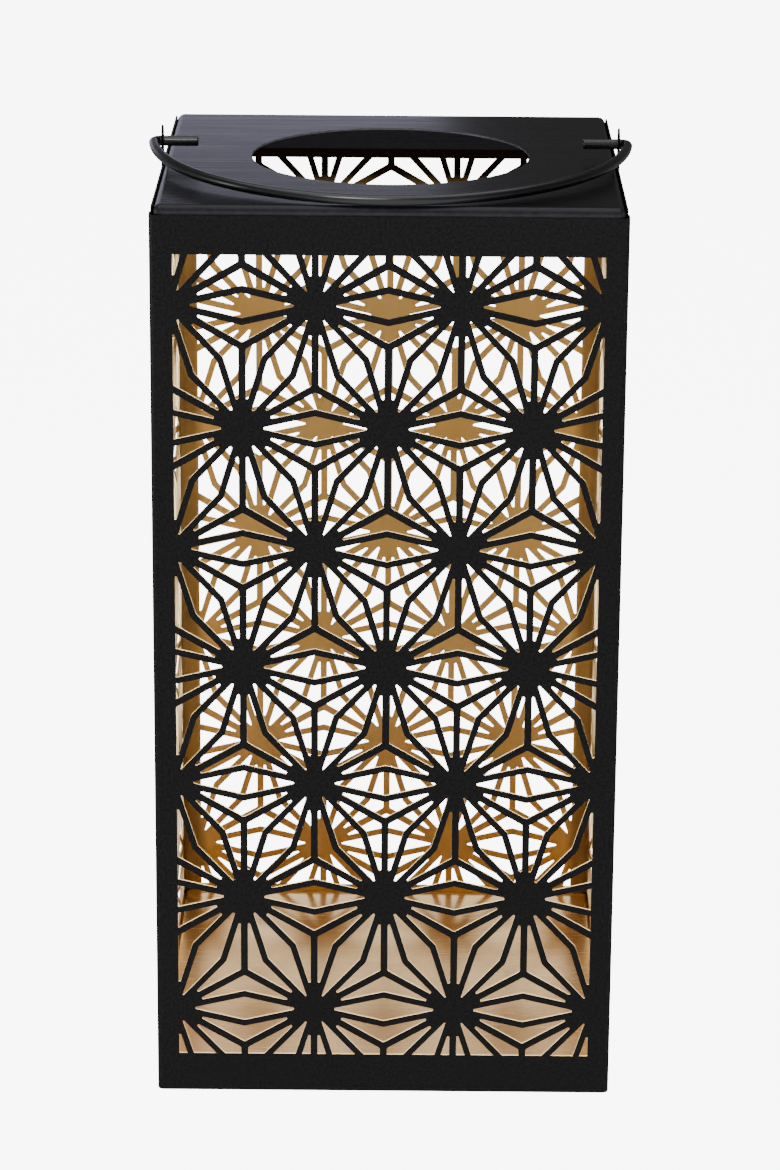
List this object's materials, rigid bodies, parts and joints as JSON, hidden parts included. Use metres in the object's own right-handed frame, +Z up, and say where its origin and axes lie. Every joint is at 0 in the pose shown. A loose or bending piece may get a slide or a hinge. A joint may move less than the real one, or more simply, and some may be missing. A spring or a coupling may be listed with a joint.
{
  "type": "moroccan metal lantern",
  "caption": "Tall square sheet-metal candle lantern with star-lattice walls, a round top opening and a folding wire handle.",
  "frame": {"origin": "centre of the foot of the body, on the surface the lantern stands on", "axes": "+Z up; +X to the right, through one ear of the handle; +Y to the back, away from the side the handle folds down to"},
  "size_m": [0.2108, 0.2, 0.414],
  "materials": {
    "black_coat": "fine satin black powder coat on the outside",
    "gold_coat": "satin gold metallic lacquer on the inside",
    "black_wire": "smooth satin black coat on round wire"
  },
  "bodies": {
    "shell": {"front_panel": "black_coat", "back_panel": "black_coat", "left_panel": "black_coat", "right_panel": "black_coat", "top_plate": "black_coat", "base_plate": "gold_coat", "left_ear": "black_coat", "right_ear": "black_coat"},
    "bail": {"handle": "black_wire"}
  },
  "joints": [
    {"name": "handle_swing", "type": "hinge", "parent": "shell", "child": "bail", "pos_m": [0, 0, 0.407], "axis": [-1, 0, 0], "range_deg": [0, 185]}
  ]
}
